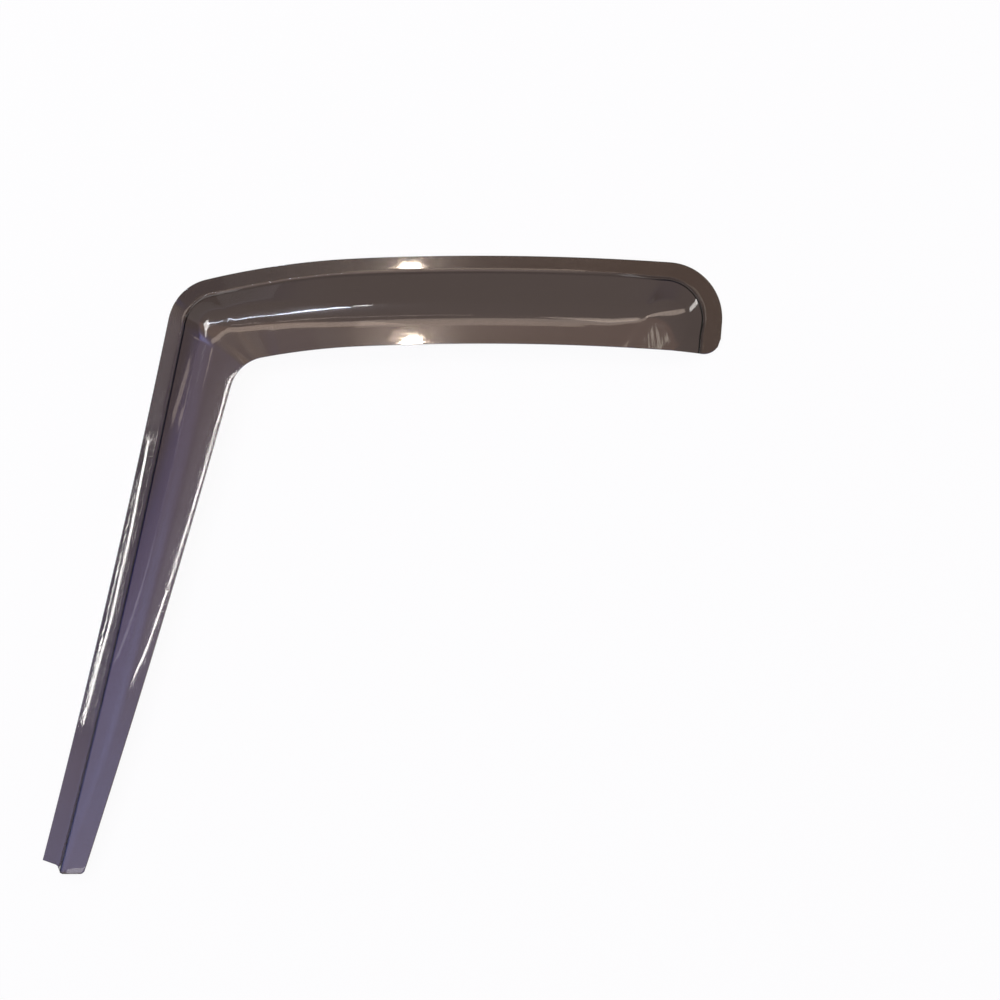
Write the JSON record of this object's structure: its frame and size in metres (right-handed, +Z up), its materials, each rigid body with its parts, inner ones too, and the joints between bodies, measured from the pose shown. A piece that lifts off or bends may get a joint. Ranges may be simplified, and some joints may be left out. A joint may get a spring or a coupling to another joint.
{
  "type": "window rain deflector",
  "caption": "Bent smoked acrylic window deflector with a flat fixing flange and a raised hood along the pillar and the roof rail of a car door.",
  "frame": {"origin": "on the back of the flange, at the middle of its width in the corner of the pillar and the roof rail", "axes": "+X along the roof rail to the rear of the car, +Y up the window, +Z out from the door; lying on its flange, +Z is up"},
  "size_m": [0.6815, 0.619, 0.0258],
  "materials": {
    "smoked_acrylic": "polished, smoked, slightly see-through"
  },
  "bodies": {
    "root": {"deflector_shell": "smoked_acrylic"}
  },
  "joints": []
}
